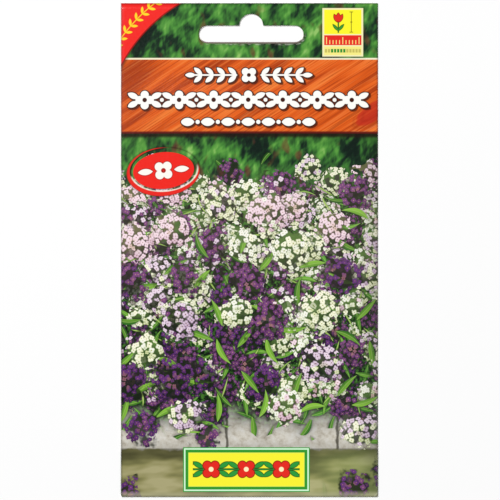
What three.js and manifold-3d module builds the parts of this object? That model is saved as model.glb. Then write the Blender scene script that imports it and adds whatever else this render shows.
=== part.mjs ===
// A printed paper seed packet that lies on its back. One sheet of coated paper is folded at both
// sides and at the bottom, glued along a back seam, and punched with a hanging slot through its
// header. Inside lies a small foil sachet, and in the sachet are the seeds.
//
// Millimetres. +X runs across the packet, +Y from its bottom fold to its header, and +Z out of its
// printed front. The origin is under the middle of the packet, on the surface that it lies on.

import * as THREE from 'three';
import { mergeVertices } from 'three/addons/utils/BufferGeometryUtils.js';
import Module from 'manifold-3d';

// The folded packet
const PACKET_WIDTH = 79.0;
const PACKET_HEIGHT = 151.8;
const PAPER = 0.1; // thickness of the coated paper
const GLUE_GAP = 0.06; // room between two glued layers
const SLIP_GAP = 0.04; // room between two layers that only touch
const BULGE = 1.5; // how far the sachet pushes the front panel up
const BULGE_BOTTOM = 13.0; // the bulge starts this far above the bottom fold
const BULGE_TOP = 18.5; // and ends this far below the header's edge
const BULGE_RUN = 15.0; // length of its slope at either end

// The back seam and the bottom flap
const SEAM_EDGE = 29.0; // the wide wing's free edge, from the middle
const SEAM_LAP = 9.0; // how far the wide wing covers the narrow one
const SEAM_STEP = 3.0; // length of the step in the narrow wing beside the seam
const WING_STOP = 1.6; // the wings end this far above the bottom fold
const FLAP_HEIGHT = 12.0;
const FLAP_INSET = 0.9; // the flap starts this far in from the packet's sides
const FLAP_TAPER = 4.0; // and loses this much more at each end towards its free edge
const FLAP_SLOPE = 7.0; // the wings come down over this length above the flap

// The hanging slot
const SLOT_WIDTH = 32.1;
const SLOT_HEIGHT = 5.2;
const SLOT_DROP = 12.1; // from the packet's top edge to the slot's lower edge
const SLOT_SHIFT = 0.55; // the punch sat a little right of the middle
const HUMP_RADIUS = 3.7; // the round hole that a single peg sits in
const HUMP_HEIGHT = 3.6; // above the straight part
const LAYER_SLIP = 0.2; // the back layer's slot sits this much higher

// Glue
const GLUE = 0.04;
const SEAM_GLUE_WIDTH = 6.0;
const FLAP_GLUE_HEIGHT = 8.0;
const HEADER_GLUE = 0.14;
const HEADER_GLUE_HEIGHT = 13.2;
const HEADER_GLUE_INSET = 1.3; // from the packet's top edge and left side
const HEADER_GLUE_RIGHT = 18.4; // it stops beside the back seam
const GLUE_CLEAR_OF_SLOT = 0.8;

// The sachet
const SACHET_WIDTH = 44.0;
const SACHET_HEIGHT = 90.0;
const SACHET_X = -4.0; // its middle
const SACHET_Y = -11.0;
const WEB = 0.05; // thickness of the foil laminate
const WEB_GAP = 0.02;
const SEAL = 5.0; // width of the sealed border
const DOME = 0.75; // how far the front web stands off the back web
const DOME_RUN = 5.0; // length of the dome's slope
const DOME_ROWS = 18;
const TEETH = 22; // zigzag cut across the sachet's two ends
const TOOTH = 0.8;

// The seeds
const SEED_LENGTH = 1.9;
const SEED_WIDTH = 1.4;
const SEED_THICKNESS = 0.6;
const SEED_COLUMNS = 9;
const SEED_ROWS = 4;
const SEED_PITCH = 2.35;
const SEED_SCATTER = 0.15;
const SEED_INSET = 4.6; // from the sachet's seal
const SEED_TAPER = 0.35; // how much narrower one end of a seed is than its middle
const SCATTER_X_STEP = 12.9898; // radians from one seed to the next, for an even scatter
const SCATTER_Y_STEP = 7.7;

// How finely the sheet is divided
const ACROSS = 24;
const ALONG = 32;
const FOLD_STEPS = 6;
const SLOT_STEPS = 12;
const FLAP_STEPS = 8;
const SEED_SIDES = 8;
const SEED_RINGS = 4;

const HALF_WIDTH = PACKET_WIDTH / 2;
const TOP = PACKET_HEIGHT / 2;
const BOTTOM = -PACKET_HEIGHT / 2;
const FRONT_INNER = 2 * PAPER + GLUE_GAP + SLIP_GAP; // the front panel lies over both wings
const FRONT_OUTER = FRONT_INNER + PAPER;
const SIDE_FOLD = FRONT_OUTER / 2; // outer radius of a side fold
const FLAP_LIFT = PAPER + GLUE_GAP; // how far the flap lifts what lies on it
const BOTTOM_FOLD = (FLAP_LIFT + FRONT_OUTER) / 2; // outer radius of the bottom fold
const FLAP_EDGE = BOTTOM + FLAP_HEIGHT;
const SHEET_LOW = BOTTOM + BOTTOM_FOLD; // where the flat of the sheet meets the bottom fold
const STEP_LENGTH = (TOP - SHEET_LOW) / ALONG;
const OVERRUN = 1.0; // how far a cutter or a joined piece reaches past a surface

const wasm = await Module();
wasm.setup();

const paper = new THREE.MeshStandardMaterial({ color: 0xb4533a, roughness: 0.4, metalness: 0 });
const glue = new THREE.MeshStandardMaterial({ color: 0xe9e2cf, roughness: 0.5, metalness: 0 });
const foil = new THREE.MeshStandardMaterial({ color: 0xc4c7ca, roughness: 0.3, metalness: 1 });
const seedCoat = new THREE.MeshStandardMaterial({ color: 0x9a6a35, roughness: 0.7, metalness: 0 });

/** A closed three.js geometry as a solid that can be joined and cut. */
function solidOf(geometry) {
  const bare = geometry.clone();
  bare.deleteAttribute('normal');
  bare.deleteAttribute('uv');
  const merged = mergeVertices(bare, 1e-4);
  return new wasm.Manifold(new wasm.Mesh({
    numProp: 3,
    vertProperties: merged.attributes.position.array,
    triVerts: new Uint32Array(merged.index.array),
  }));
}

/** A solid as a three.js geometry. */
function geometryOf(solid) {
  const mesh = solid.getMesh();
  const geometry = new THREE.BufferGeometry();
  geometry.setAttribute('position', new THREE.BufferAttribute(mesh.vertProperties, 3));
  geometry.setIndex(new THREE.BufferAttribute(mesh.triVerts, 1));
  geometry.computeVertexNormals();
  return geometry;
}

/** Moves every vertex of a geometry to the place that move(point) gives it. */
function bend(geometry, move) {
  const position = geometry.attributes.position;
  const point = new THREE.Vector3();
  for (let i = 0; i < position.count; i += 1) {
    point.fromBufferAttribute(position, i);
    move(point);
    position.setXYZ(i, point.x, point.y, point.z);
  }
  return geometry;
}

/** An outline in X and Z, extruded along Y from one end of the packet to the other. */
function extrudeAlong(outline, from, to, steps) {
  const shape = new THREE.Shape(outline);
  const geometry = new THREE.ExtrudeGeometry(shape, { depth: to - from, steps, bevelEnabled: false });
  geometry.rotateX(Math.PI / 2);
  geometry.translate(0, to, 0);
  return geometry;
}

/** How far the flap lifts the back wings, and all that lies on them, at a height y. */
function liftAt(y) {
  const slope = THREE.MathUtils.smoothstep(y, FLAP_EDGE + OVERRUN, FLAP_EDGE + OVERRUN + FLAP_SLOPE);
  return FLAP_LIFT * (1 - slope);
}

/** The front panel's bulge: an arch across the packet that fades out towards both ends. */
function bulgeAt(x, y) {
  const across = Math.max(0, 1 - (x / (HALF_WIDTH - SIDE_FOLD)) ** 2);
  const fromBottom = THREE.MathUtils.smoothstep(y - BOTTOM - BULGE_BOTTOM, 0, BULGE_RUN);
  const fromTop = THREE.MathUtils.smoothstep(TOP - BULGE_TOP - y, 0, BULGE_RUN);
  return BULGE * across * fromBottom * fromTop;
}

/** Points of a side fold's arc, without its two ends, from one angle to another. */
function sideFold(centreX, radius, from, to) {
  const points = [];
  for (let i = 1; i < FOLD_STEPS; i += 1) {
    const angle = THREE.MathUtils.lerp(from, to, i / FOLD_STEPS);
    points.push(new THREE.Vector2(
      centreX + radius * Math.cos(angle),
      SIDE_FOLD + radius * Math.sin(angle),
    ));
  }
  return points;
}

/** The front panel's points at one level, from left to right. */
function panelRow(z) {
  const reach = HALF_WIDTH - SIDE_FOLD;
  const points = [];
  for (let i = 0; i <= ACROSS; i += 1) {
    points.push(new THREE.Vector2(THREE.MathUtils.lerp(-reach, reach, i / ACROSS), z));
  }
  return points;
}

/** The narrow wing's points, from its side fold to its free edge, with the step at the seam. */
function narrowWingRow(z) {
  const stepEnd = SEAM_EDGE + GLUE_GAP + 2 * PAPER;
  const raised = PAPER + GLUE_GAP;
  return [
    new THREE.Vector2(HALF_WIDTH - SIDE_FOLD, z),
    new THREE.Vector2(stepEnd + SEAM_STEP, z),
    new THREE.Vector2(stepEnd, z + raised),
    new THREE.Vector2(SEAM_EDGE - SEAM_LAP, z + raised),
  ];
}

/** The folded sheet's outline across the packet: wide wing, front panel, narrow wing. */
function wrapOutline() {
  const inner = SIDE_FOLD - PAPER;
  const left = -HALF_WIDTH + SIDE_FOLD;
  const right = HALF_WIDTH - SIDE_FOLD;
  const quarter = Math.PI / 2;
  return [
    new THREE.Vector2(SEAM_EDGE, 0),
    new THREE.Vector2(left, 0),
    ...sideFold(left, SIDE_FOLD, -quarter, -3 * quarter),
    ...panelRow(FRONT_OUTER),
    ...sideFold(right, SIDE_FOLD, quarter, -quarter),
    ...narrowWingRow(0),
    ...narrowWingRow(PAPER).reverse(),
    ...sideFold(right, inner, -quarter, quarter),
    ...panelRow(FRONT_INNER).reverse(),
    ...sideFold(left, inner, -3 * quarter, -quarter),
    new THREE.Vector2(left, PAPER),
    new THREE.Vector2(SEAM_EDGE, PAPER),
  ];
}

/** Moves a point of the flat packet to where it lies in the filled one. */
function settle(point) {
  const panel = point.z > FRONT_INNER - SLIP_GAP / 2;
  const rise = panel ? bulgeAt(point.x, point.y) : 0;
  point.z += liftAt(point.y) + rise;
}

/** The sheet's two sides and three panels. Its wings stop short of the bottom fold. */
function wrapBody() {
  const geometry = extrudeAlong(wrapOutline(), SHEET_LOW, TOP, ALONG);
  return bend(geometry, (point) => {
    if (point.y < SHEET_LOW + SLIP_GAP) {
      const wing = 1 - THREE.MathUtils.smoothstep(point.z, PAPER, FRONT_INNER);
      point.y += wing * (WING_STOP - BOTTOM_FOLD);
    }
    settle(point);
  });
}

/** The bottom fold and the flap behind it, extruded across the packet and tapered. */
function wrapFlap() {
  const centreY = SHEET_LOW;
  const tab = centreY + OVERRUN;
  const front = FLAP_LIFT + FRONT_OUTER;
  const outline = new THREE.Shape();
  outline.moveTo(tab, front);
  outline.lineTo(centreY, front);
  outline.absarc(centreY, BOTTOM_FOLD, BOTTOM_FOLD, Math.PI / 2, 3 * Math.PI / 2, false);
  outline.lineTo(FLAP_EDGE, 0);
  outline.lineTo(FLAP_EDGE, PAPER);
  outline.lineTo(centreY, PAPER);
  outline.absarc(centreY, BOTTOM_FOLD, BOTTOM_FOLD - PAPER, 3 * Math.PI / 2, Math.PI / 2, true);
  outline.lineTo(tab, front - PAPER);
  outline.closePath();
  const half = HALF_WIDTH - FLAP_INSET;
  const geometry = new THREE.ExtrudeGeometry(outline, {
    depth: 2 * half,
    steps: 1,
    curveSegments: FLAP_STEPS,
    bevelEnabled: false,
  });
  const cycleAxes = new THREE.Matrix4().makeBasis(
    new THREE.Vector3(0, 1, 0),
    new THREE.Vector3(0, 0, 1),
    new THREE.Vector3(1, 0, 0),
  );
  geometry.applyMatrix4(cycleAxes);
  geometry.translate(-half, 0, 0);
  return bend(geometry, (point) => {
    if (point.y > FLAP_EDGE - SLIP_GAP) point.x -= Math.sign(point.x) * FLAP_TAPER;
  });
}

/** The euro slot's outline: a straight slot with round ends and a round hump on its upper edge. */
function slotOutline(grow) {
  const radius = SLOT_HEIGHT / 2 + grow;
  const reach = (SLOT_WIDTH - SLOT_HEIGHT) / 2;
  const humpMiddle = SLOT_HEIGHT / 2 + HUMP_HEIGHT - HUMP_RADIUS;
  const humpRadius = HUMP_RADIUS + grow;
  const humpStart = Math.asin((radius - humpMiddle) / humpRadius);
  const shape = new THREE.Shape();
  shape.moveTo(-reach, -radius);
  shape.lineTo(reach, -radius);
  shape.absarc(reach, 0, radius, -Math.PI / 2, Math.PI / 2, false);
  shape.absarc(0, humpMiddle, humpRadius, humpStart, Math.PI - humpStart, false);
  shape.absarc(-reach, 0, radius, Math.PI / 2, 3 * Math.PI / 2, false);
  return shape;
}

/** The punch for the slot, between two levels. */
function slotPunch(low, high, grow, shift) {
  const geometry = new THREE.ExtrudeGeometry(slotOutline(grow), {
    depth: high - low,
    steps: 1,
    curveSegments: SLOT_STEPS,
    bevelEnabled: false,
  });
  const middle = TOP - SLOT_DROP + SLOT_HEIGHT / 2;
  geometry.translate(SLOT_SHIFT, middle + shift, low);
  return solidOf(geometry);
}

/** The outer wrap: the folded sheet with its flap, punched through both layers. */
function paperWrap() {
  const between = (PAPER + FRONT_INNER) / 2;
  const sheet = solidOf(wrapBody()).add(solidOf(wrapFlap()));
  const front = slotPunch(between, FRONT_OUTER + OVERRUN, 0, 0);
  const back = slotPunch(-OVERRUN, between, 0, LAYER_SLIP);
  return geometryOf(sheet.subtract(front).subtract(back));
}

/** A rectangle in X and Z, as an outline that extrudeAlong takes. */
function strip(left, right, low, high) {
  return [
    new THREE.Vector2(left, low),
    new THREE.Vector2(right, low),
    new THREE.Vector2(right, high),
    new THREE.Vector2(left, high),
  ];
}

/** The line of glue between the two wings, divided where they are. */
function seamGlue() {
  const left = SEAM_EDGE - (SEAM_LAP + SEAM_GLUE_WIDTH) / 2;
  const low = PAPER + (GLUE_GAP - GLUE) / 2;
  const outline = strip(left, left + SEAM_GLUE_WIDTH, low, low + GLUE);
  const from = SHEET_LOW + STEP_LENGTH;
  const to = TOP - STEP_LENGTH;
  return bend(extrudeAlong(outline, from, to, ALONG - 2), settle);
}

/** The line of glue between the bottom flap and the wings. */
function flapGlue() {
  const half = HALF_WIDTH - FLAP_INSET - FLAP_TAPER;
  const low = PAPER + (GLUE_GAP - GLUE) / 2;
  const top = FLAP_EDGE - OVERRUN;
  return extrudeAlong(strip(-half, half, low, low + GLUE), top - FLAP_GLUE_HEIGHT, top, 1);
}

/** The patch of glue that closes the header, open around the slot. */
function headerGlue() {
  const low = PAPER + (FRONT_INNER - PAPER - HEADER_GLUE) / 2;
  const outline = strip(-HALF_WIDTH + HEADER_GLUE_INSET, HEADER_GLUE_RIGHT, low, low + HEADER_GLUE);
  const top = TOP - HEADER_GLUE_INSET;
  const patch = solidOf(extrudeAlong(outline, top - HEADER_GLUE_HEIGHT, top, 1));
  return geometryOf(patch.subtract(slotPunch(-OVERRUN, OVERRUN, GLUE_CLEAR_OF_SLOT, 0)));
}

/** One web of the sachet: a thin sheet, cut zigzag at both ends, lifted by rise(u, v). */
function sachetWeb(level, rows, rise) {
  const geometry = new THREE.BoxGeometry(SACHET_WIDTH, SACHET_HEIGHT, WEB, TEETH, rows, 1);
  const toothWidth = SACHET_WIDTH / TEETH;
  return bend(geometry, (point) => {
    const inX = SACHET_WIDTH / 2 - Math.abs(point.x);
    const inY = SACHET_HEIGHT / 2 - Math.abs(point.y);
    const tooth = Math.round(point.x / toothWidth);
    if (inY < TOOTH / 2 && tooth % 2 !== 0) point.y -= Math.sign(point.y) * TOOTH;
    point.x += SACHET_X;
    point.y += SACHET_Y;
    point.z += level + WEB / 2 + rise(inX, inY);
  });
}

/** The dome over the seeds: it rises from the seal over a short slope, and is level inside. */
function domeRise(inX, inY) {
  const across = THREE.MathUtils.smoothstep(inX - SEAL, 0, DOME_RUN);
  const along = THREE.MathUtils.smoothstep(inY - SEAL, 0, DOME_RUN);
  return DOME * across * along;
}

/** A seed: a flattened egg, narrower at one end. */
function seedGeometry() {
  const geometry = new THREE.SphereGeometry(0.5, SEED_SIDES, SEED_RINGS);
  geometry.rotateX(Math.PI / 2);
  return bend(geometry, (point) => {
    point.y *= SEED_WIDTH * (1 - SEED_TAPER * point.x);
    point.x *= SEED_LENGTH;
    point.z *= SEED_THICKNESS;
  });
}

function addPart(group, name, geometry, material) {
  const mesh = new THREE.Mesh(geometry, material);
  mesh.name = name;
  group.add(mesh);
  return mesh;
}

/** The seeds, loose in the lower end of the sachet, each on its flat side. */
function addSeeds(group) {
  const shape = seedGeometry();
  const left = SACHET_X - ((SEED_COLUMNS - 1) * SEED_PITCH) / 2;
  const low = SACHET_Y - SACHET_HEIGHT / 2 + SEAL + SEED_INSET + SEED_LENGTH / 2;
  const level = PAPER + SLIP_GAP + WEB + WEB_GAP + SEED_THICKNESS / 2;
  for (let i = 0; i < SEED_COLUMNS * SEED_ROWS; i += 1) {
    const column = i % SEED_COLUMNS;
    const row = Math.floor(i / SEED_COLUMNS);
    const wander = Math.sin(SCATTER_X_STEP * (i + 1));
    const name = `seed_${String(i + 1).padStart(2, '0')}`;
    const seed = addPart(group, name, shape, seedCoat);
    seed.position.set(
      left + column * SEED_PITCH + SEED_SCATTER * wander,
      low + row * SEED_PITCH + SEED_SCATTER * Math.cos(SCATTER_Y_STEP * (i + 1)),
      level,
    );
    seed.rotation.z = Math.PI * wander;
  }
}

const packet = new THREE.Group();
packet.name = 'seed_packet';
addPart(packet, 'paper_wrap', paperWrap(), paper);
addPart(packet, 'back_seam_glue', seamGlue(), glue);
addPart(packet, 'bottom_flap_glue', flapGlue(), glue);
addPart(packet, 'header_glue', headerGlue(), glue);

const sachet = new THREE.Group();
const backLevel = PAPER + SLIP_GAP;
const frontLevel = backLevel + WEB + WEB_GAP;
addPart(sachet, 'sachet_back', sachetWeb(backLevel, 1, () => 0), foil);
addPart(sachet, 'sachet_front', sachetWeb(frontLevel, DOME_ROWS, domeRise), foil);
addSeeds(sachet);
packet.add(sachet);

export default packet;
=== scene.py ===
import math
import bpy
import numpy as np
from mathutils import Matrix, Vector


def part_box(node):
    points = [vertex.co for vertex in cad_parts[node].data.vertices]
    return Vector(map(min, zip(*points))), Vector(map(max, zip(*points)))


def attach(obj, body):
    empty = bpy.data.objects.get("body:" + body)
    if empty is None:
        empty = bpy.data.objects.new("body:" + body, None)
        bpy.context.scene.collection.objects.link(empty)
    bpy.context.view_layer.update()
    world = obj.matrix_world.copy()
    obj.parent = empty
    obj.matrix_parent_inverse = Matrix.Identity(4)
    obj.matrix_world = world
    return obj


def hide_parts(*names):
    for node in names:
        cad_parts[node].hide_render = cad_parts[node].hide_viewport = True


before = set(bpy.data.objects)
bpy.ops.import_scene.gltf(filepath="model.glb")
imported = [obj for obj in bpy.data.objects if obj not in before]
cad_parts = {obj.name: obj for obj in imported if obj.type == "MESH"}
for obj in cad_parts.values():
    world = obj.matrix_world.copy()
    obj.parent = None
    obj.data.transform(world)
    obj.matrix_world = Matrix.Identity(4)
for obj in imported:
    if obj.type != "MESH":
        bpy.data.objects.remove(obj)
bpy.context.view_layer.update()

# ---------------------------------------------------------------------------------------------
# The outer wrap. One die-cut sheet of coated paper: a front panel, two wings that fold behind it
# and lap in a glued back seam, and a flap that folds up behind the bottom. It is worked out as
# the flat blank, in millimetres, and each point of the blank is carried to its folded place.
# ---------------------------------------------------------------------------------------------
MM = 0.001
wrap_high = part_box("paper_wrap")[1]
half_width = wrap_high.x / MM
half_height = wrap_high.y / MM
crown = wrap_high.z / MM

paper = 0.1
seam_gap = 0.06
slip_gap = 0.04
front_level = 2.5 * paper + seam_gap + slip_gap  # middle of the front sheet over its two wings
wing_level = paper / 2
side_radius = (front_level - wing_level) / 2
fold_length = math.pi * side_radius
panel_half = half_width - paper / 2 - side_radius
wing_turn = 2 * panel_half + fold_length  # x on a wing and s on the blank add up to this
flap_lift = paper + seam_gap
bottom_radius = (flap_lift + front_level - wing_level) / 2
panel_low = -half_height + paper / 2 + bottom_radius
flap_fold = panel_low - math.pi * bottom_radius  # where the flap begins on the blank
flap_edge = -half_height + 12.0
flap_length = flap_edge - panel_low
flap_taper = 4.0
wing_low = -half_height + 1.6
wing_ease = 3.5  # the wings' ends are drawn up over this length
seam_edge = 29.0
seam_lap = 9.0
seam_step = 3.0
seam_clear = 0.26  # from the wide wing's edge to where the narrow one begins to step down

slot_width, slot_height, slot_drop = 32.1, 5.2, 12.1  # the drop is from the top edge to its foot
slot_radius = slot_height / 2
slot_reach = slot_width / 2 - slot_radius  # from its middle to the middle of a round end
slot_x, slot_y = 0.55, half_height - slot_drop + slot_radius
hump_radius, hump_height = 3.7, 3.6
hump_rise = slot_radius + hump_height - hump_radius  # the hump's middle above the slot's
back_slip = 0.2  # the back layer's slot sits this much higher
front_drop = 0.3  # the front layer's slot reaches this much lower
frame_left, frame_right = slot_x - 19.5, slot_x + 19.5  # the patch that is meshed round the slot
frame_low, frame_high = slot_y - 4.6, slot_y + 7.7
hump_spread = 8.8  # half the length of the patch's top side that faces the hump

plate_left, plate_right, plate_low, plate_high = -20.4, 18.5, -74.3, -60.6
board_low, board_high = 35.7, 58.56
pouch_middle, pouch_half = (-4.0, -11.0), (22.5, 46.0)  # the sachet's outline under the front
arch_clear = 0.1  # room for the slack waves under the crown


def smooth(value, start, end):
    """Smoothstep: 0 before start, 1 after end, with an even S between."""
    part = np.clip((value - start) / (end - start), 0, 1)
    return part * part * (3 - 2 * part)


def lift_over_flap(y):
    """How far the flap lifts the sheet that lies on it."""
    return flap_lift * (1 - smooth(y, flap_edge + 1.0, flap_edge + 8.0))


def front_height(x, y):
    """Height of the front panel: an arch across the packet that fades towards both ends, over
    the step that the flap makes, with the sachet's rim and a few slack waves showing through."""
    across = np.clip(1 - (x / panel_half) ** 2, 0, 1)
    along = smooth(half_height + y, 13.0, 28.0) * smooth(half_height - y, 18.5, 33.5)
    arch = (crown - front_level - paper / 2 - arch_clear) * across * along
    rim_x = smooth(pouch_half[0] - np.abs(x - pouch_middle[0]), 0, 2.2)
    rim_y = smooth(pouch_half[1] - np.abs(y - pouch_middle[1]), 0, 2.6)
    waves = 0.045 * np.sin(0.21 * y + 0.09 * x + 1.0) + 0.035 * np.sin(0.16 * x - 0.11 * y)
    waves = waves + 0.02 * np.sin(0.47 * y - 0.3 * x)
    over_pouch = across * along * (0.06 * rim_x * rim_y + 0.5 * waves)
    at_ends = 0.25 * across * np.abs(waves) * (1 - along) * smooth(y, -70, -60)
    return front_level + lift_over_flap(y) + arch + over_pouch + at_ends


def wing_height(x, y, side):
    """Height of a wing: level, except where the narrow one steps up onto the wide one."""
    step_end = seam_edge + seam_clear
    on_top = 1 - smooth(x, step_end, step_end + seam_step)
    return wing_level + lift_over_flap(y) + (side > 0) * (paper + seam_gap) * on_top


def folded(blank):
    """The folded place of points of the blank. Across, the sheet runs along the front panel,
    round a half circle at each side and back along a wing. Downwards it runs along the panel,
    round a half circle at the bottom and up the flap."""
    s, t = blank[:, 0], blank[:, 1]
    side = np.sign(s)
    turn = np.clip((np.abs(s) - panel_half) / side_radius, 0, math.pi)
    along_wing = np.clip(np.abs(s) - panel_half - fold_length, 0, None)
    x = np.where(turn > 0, side * (panel_half - along_wing + side_radius * np.sin(turn)), s)
    wing = (1 - np.cos(turn)) / 2
    ease = smooth(panel_low + wing_ease - t, 0, wing_ease)
    flat_y = t + wing * ease * (wing_low - panel_low)
    dip = np.clip((panel_low - t) / bottom_radius, 0, math.pi)
    up_flap = np.clip(flap_fold - t, 0, None)
    y = np.where(dip > 0, panel_low - bottom_radius * np.sin(dip) + up_flap, flat_y)
    front = front_height(np.clip(x, -panel_half, panel_half), np.maximum(y, panel_low))
    back = wing_height(x, y, side)
    z = front + (back - front) * wing
    under = (1 - np.cos(dip)) / 2
    z = z + (wing_level - z) * under
    return np.stack([x, y, z], 1)


def even(step, *stops):
    """Values from the first stop to the last, that meet every stop and lie about a step apart."""
    runs = []
    for low, high in zip(stops, stops[1:]):
        runs.append(np.linspace(low, high, max(1, round(abs(high - low) / step)) + 1)[:-1])
    return np.append(np.concatenate(runs), stops[-1])


def within(values, low, high):
    """The values from low to high."""
    return values[(values > low - 1e-6) & (values < high + 1e-6)]


def grid(us, vs):
    """A sheet of points over two rows of values, and the four corners of each of its faces."""
    u, v = np.meshgrid(us, vs)
    index = np.arange(u.size).reshape(u.shape)
    corners = np.stack([index[:-1, :-1], index[:-1, 1:], index[1:, 1:], index[1:, :-1]], -1)
    return np.stack([u.ravel(), v.ravel()], 1), corners.reshape(-1, 4)


def arc(x, y, radius, first, last, count):
    """Points of a circle round (x, y), from one angle to another."""
    angles = np.linspace(first, last, count)
    return np.stack([x + radius * np.cos(angles), y + radius * np.sin(angles)], 1)


def slot_outline():
    """Points of the euro slot's edge about its middle, from its lower left: along the bottom,
    round the right end, over the round hump, round the left end and back. Gives also the numbers
    of the points where the hump begins and ends."""
    quarter = math.pi / 2
    meet = math.asin((slot_radius - hump_rise) / hump_radius)
    start = [(-slot_reach, -slot_radius)]
    right_end = arc(slot_reach, 0, slot_radius, -quarter, quarter, 15)
    hump = arc(0, hump_rise, hump_radius, meet, math.pi - meet, 21)
    left_end = arc(-slot_reach, 0, slot_radius, quarter, 3 * quarter, 15)
    hump_start = 1 + len(right_end)
    outline = np.concatenate([start, right_end, hump, left_end, start])
    return outline, hump_start, hump_start + len(hump) - 1


def lengths(points):
    """How far along a line of points each one lies."""
    return np.append(0, np.cumsum(np.linalg.norm(np.diff(points, axis=0), axis=1)))


def ring_round_slot(xs, ys, lift, drop=0.0):
    """The patch between the slot and the frame round it: each point of the frame is joined to a
    point of the slot's edge by a straight row, closer together towards the slot. Marks along the
    frame face marks along the edge, and the points between two marks are shared out evenly."""
    left, right, low, high = xs[0], xs[-1], ys[0], ys[-1]
    frame_points = np.concatenate([
        np.stack([xs[:-1], np.full(len(xs) - 1, low)], 1),
        np.stack([np.full(len(ys) - 1, right), ys[:-1]], 1),
        np.stack([xs[:0:-1], np.full(len(xs) - 1, high)], 1),
        np.stack([np.full(len(ys) - 1, left), ys[:0:-1]], 1),
    ])
    edge, hump_start, hump_end = slot_outline()
    along_edge = lengths(edge)
    along_frame = lengths(np.vstack([frame_points, frame_points[:1]]))
    width, height = right - left, high - low
    to_left, to_top = slot_x - left, width + height + right - slot_x
    frame_marks = np.array([
        to_left - slot_reach, to_left + slot_reach, width, width + height, to_top - slot_reach,
        to_top - hump_spread, to_top + hump_spread, to_top + slot_reach,
        2 * width + height, 2 * width + 2 * height,
    ])
    bottom, eighth, whole = 2 * slot_reach, slot_radius * math.pi / 4, along_edge[-1]
    right_top, left_top = bottom + 4 * eighth, along_edge[hump_end + 1]
    hump_corners = along_edge[hump_start], along_edge[hump_end]
    edge_marks = [0, bottom, bottom + eighth, right_top - eighth, right_top, *hump_corners,
                  left_top, left_top + eighth, whole - eighth, whole]
    around = along_frame[:-1] + (along_frame[:-1] < frame_marks[0]) * along_frame[-1]
    frame_marks = np.append(frame_marks, frame_marks[0] + along_frame[-1])
    share = np.interp(around, frame_marks, edge_marks) % whole
    for corner in hump_corners:
        share[np.abs(share - corner).argmin()] = corner
    on_edge = np.stack([np.interp(share, along_edge, edge[:, axis]) for axis in (0, 1)], 1)
    dropped = np.where(on_edge[:, 1] < 0, drop, 0)
    on_edge = on_edge + np.stack([np.full(len(on_edge), slot_x), slot_y + lift - dropped], 1)
    rings = np.array([0, 0.35, 1.1, 2.6, 5.0]) / 5.0
    points = on_edge[None] + (frame_points - on_edge)[None] * rings[:, None, None]
    index = np.arange(len(rings) * len(frame_points)).reshape(len(rings), -1)
    ahead = np.roll(index, -1, axis=1)
    faces = np.stack([index[:-1], index[1:], ahead[1:], ahead[:-1]], -1).reshape(-1, 4)
    return points.reshape(-1, 2), faces


def round_frame(points, faces):
    """A grid without the faces in the patch that the slot's ring fills."""
    x, y = points[faces].mean(1).T
    inside_frame = (x > frame_left) & (x < frame_right) & (y > frame_low) & (y < frame_high)
    return points, faces[~inside_frame]


def mirrored(points, faces, side):
    """A patch drawn in x as it lies folded, moved to its place on the blank."""
    moved = points.copy()
    moved[:, 0] = side * wing_turn - points[:, 0]
    return moved, faces[:, ::-1]


def joined(patches):
    """The patches as one blank: points that coincide become one."""
    offset, all_points, all_faces = 0, [], []
    for points, faces in patches:
        all_points.append(points)
        all_faces.append(faces + offset)
        offset += len(points)
    stacked = np.concatenate(all_points)
    _, first, same = np.unique(np.round(stacked, 5), axis=0, return_index=True, return_inverse=True)
    return stacked[first], same.ravel()[np.concatenate(all_faces)]


def open_edges(faces):
    """The directed edges that only one face has."""
    edges = np.stack([faces, np.roll(faces, -1, axis=1)], -1).reshape(-1, 2)
    key = np.sort(edges, axis=1)
    _, where, count = np.unique(key, axis=0, return_inverse=True, return_counts=True)
    return edges[count[where.ravel()] == 1]


step = 1.25
rows = even(step, panel_low, plate_low, panel_low + wing_ease, flap_edge, plate_high, board_low,
            board_high, frame_low, frame_high, half_height)
frame_rows = within(rows, frame_low, frame_high)
columns = even(step, -panel_half, plate_left, frame_left, plate_right, frame_right, panel_half)
wing_columns = even(step, -panel_half, frame_left, frame_right, seam_edge)
narrow_columns = even(step, seam_edge - seam_lap, seam_edge, panel_half)
fold_columns = np.linspace(panel_half, panel_half + fold_length, 9)
flap_rows = np.append(np.linspace(flap_fold - flap_length, flap_fold, 11),
                      np.linspace(flap_fold, panel_low, 9)[1:])
front_ring = ring_round_slot(within(columns, frame_left, frame_right), frame_rows, 0, front_drop)
back_ring = ring_round_slot(within(wing_columns, frame_left, frame_right), frame_rows, back_slip)
flap, flap_faces = grid(columns, flap_rows)
taper = np.clip((flap_fold - flap[:, 1]) / flap_length, 0, 1)
flap[:, 0] *= 1 - taper * flap_taper / panel_half
blank, faces = joined([
    round_frame(*grid(columns, rows)),
    front_ring,
    mirrored(*round_frame(*grid(wing_columns, rows)), -1),
    mirrored(*back_ring, -1),
    mirrored(*grid(narrow_columns, rows), 1),
    grid(fold_columns, rows),
    grid(-fold_columns[::-1], rows),
    (flap, flap_faces),
])

sheet = folded(blank)
nudge = 0.002
across_sheet = folded(blank + [nudge, 0]) - folded(blank - [nudge, 0])
along_sheet = folded(blank + [0, nudge]) - folded(blank - [0, nudge])
normal = np.cross(across_sheet, along_sheet)
normal /= np.linalg.norm(normal, axis=1, keepdims=True)
both_sides = np.concatenate([sheet + normal * paper / 2, sheet - normal * paper / 2])
rim = open_edges(faces)
under_rim = rim + len(blank)
rim_faces = np.stack([rim[:, 1], rim[:, 0], under_rim[:, 0], under_rim[:, 1]], 1)
all_faces = np.concatenate([faces, faces[:, ::-1] + len(blank), rim_faces])

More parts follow.
